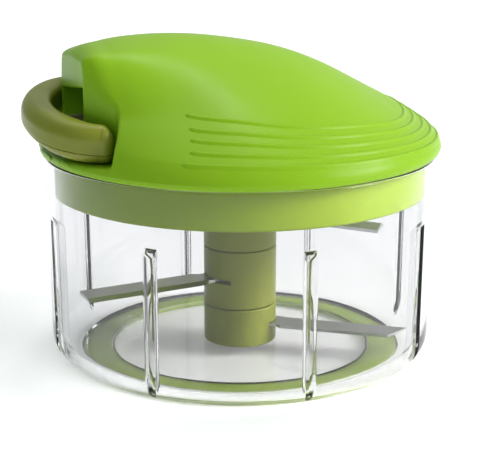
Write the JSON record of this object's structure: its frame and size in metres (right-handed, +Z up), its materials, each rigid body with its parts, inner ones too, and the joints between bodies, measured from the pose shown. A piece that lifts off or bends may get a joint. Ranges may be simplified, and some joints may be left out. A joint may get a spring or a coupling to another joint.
{
  "type": "pull cord food chopper",
  "caption": "Food chopper with a clear round bowl, a blade tower on a pin and a domed lid whose pull cord spins the blades through a reel and clutch.",
  "frame": {"origin": "on the surface that the bowl stands on, under the middle of the whole object; the bowl's own axis stands at x = 2.9 mm", "axes": "+Z up; the grip is at -X and the cord is pulled out along -X; the ridged front of the lid is at +X"},
  "size_m": [0.1364, 0.1308, 0.1078],
  "materials": {
    "clear_plastic": "clear and glossy",
    "soft_green": "soft, satin",
    "lid_green": "satin",
    "pale_green": "satin",
    "olive_plastic": "satin",
    "white_plastic": "matt",
    "cord_fabric": "braided",
    "blade_steel": "brushed",
    "steel": "brushed",
    "bush_brass": "satin"
  },
  "bodies": {
    "bowl": {"bowl": "clear_plastic", "base_ring": "soft_green", "pivot_pin": "steel"},
    "blade_unit": {"pivot_bush": "white_plastic", "tower_core": "olive_plastic", "hub_low": "olive_plastic", "hub_middle": "olive_plastic", "hub_high": "olive_plastic", "blade_low": "blade_steel", "blade_middle": "blade_steel", "blade_high": "blade_steel"},
    "lid": {"lid_dome": "lid_green", "lid_cover": "pale_green", "shaft_bush": "white_plastic", "reel_axle": "steel", "spring_housing": "steel", "housing_screw_1": "steel", "housing_screw_2": "steel", "housing_screw_3": "steel", "cover_screw_1": "steel", "cover_screw_2": "steel", "cover_screw_3": "steel", "cover_screw_4": "steel", "cord_guide": "white_plastic", "pull_cord": "cord_fabric", "mainspring": "steel"},
    "reel": {"cord_reel": "white_plastic", "cord_winding": "cord_fabric", "reel_bush": "bush_brass", "pawl_pin_1": "steel", "pawl_pin_2": "steel"},
    "pawl_a": {"pawl_a": "steel"},
    "pawl_b": {"pawl_b": "steel"},
    "drive": {"drive_shaft": "white_plastic", "ratchet_wheel": "steel", "retaining_clip": "steel"},
    "cord_end": {"cord_knot": "cord_fabric"},
    "handle": {"handle_upper": "olive_plastic", "handle_lower": "olive_plastic", "handle_screw_1": "steel", "handle_screw_2": "steel"}
  },
  "joints": [
    {"name": "lid_lift", "type": "slide", "parent": "bowl", "child": "lid", "axis": [0, 0, 1], "range_m": [0, 0.12]},
    {"name": "blade_spin", "type": "hinge", "parent": "bowl", "child": "blade_unit", "pos_m": [0.0029, 0, 0.01], "axis": [0, 0, 1], "range_deg": [0, 700]},
    {"name": "handle_pull", "type": "slide", "parent": "lid", "child": "cord_end", "axis": [-1, 0, 0], "range_m": [0, 0.3], "stiffness_N_per_m": 12, "deforming": ["pull_cord"]},
    {"name": "handle_swivel", "type": "hinge", "parent": "cord_end", "child": "handle", "pos_m": [-0.0605, 0, 0.0829], "axis": [1, 0, 0], "range_deg": [-16.6, 0]},
    {"name": "reel_spin", "type": "hinge", "parent": "lid", "child": "reel", "pos_m": [0.0029, 0, 0.0829], "axis": [0, 0, 1], "range_deg": [0, 700], "deforming": ["mainspring"]},
    {"name": "drive_spin", "type": "hinge", "parent": "lid", "child": "drive", "pos_m": [0.0029, 0, 0.065], "axis": [0, 0, 1], "range_deg": [0, 700]},
    {"name": "pawl_a_swing", "type": "hinge", "parent": "reel", "child": "pawl_a", "pos_m": [0.0229, 0, 0.075], "axis": [0, 0, 1], "range_deg": [-12, 0]},
    {"name": "pawl_b_swing", "type": "hinge", "parent": "reel", "child": "pawl_b", "pos_m": [-0.0171, 0, 0.075], "axis": [0, 0, 1], "range_deg": [-12, 0]}
  ],
  "couplings": [
    {"joint": "reel_spin", "follows": "handle_pull", "rad_per_m": 40.65},
    {"joint": "drive_spin", "follows": "handle_pull", "rad_per_m": 40.65},
    {"joint": "blade_spin", "follows": "handle_pull", "rad_per_m": 40.65}
  ]
}
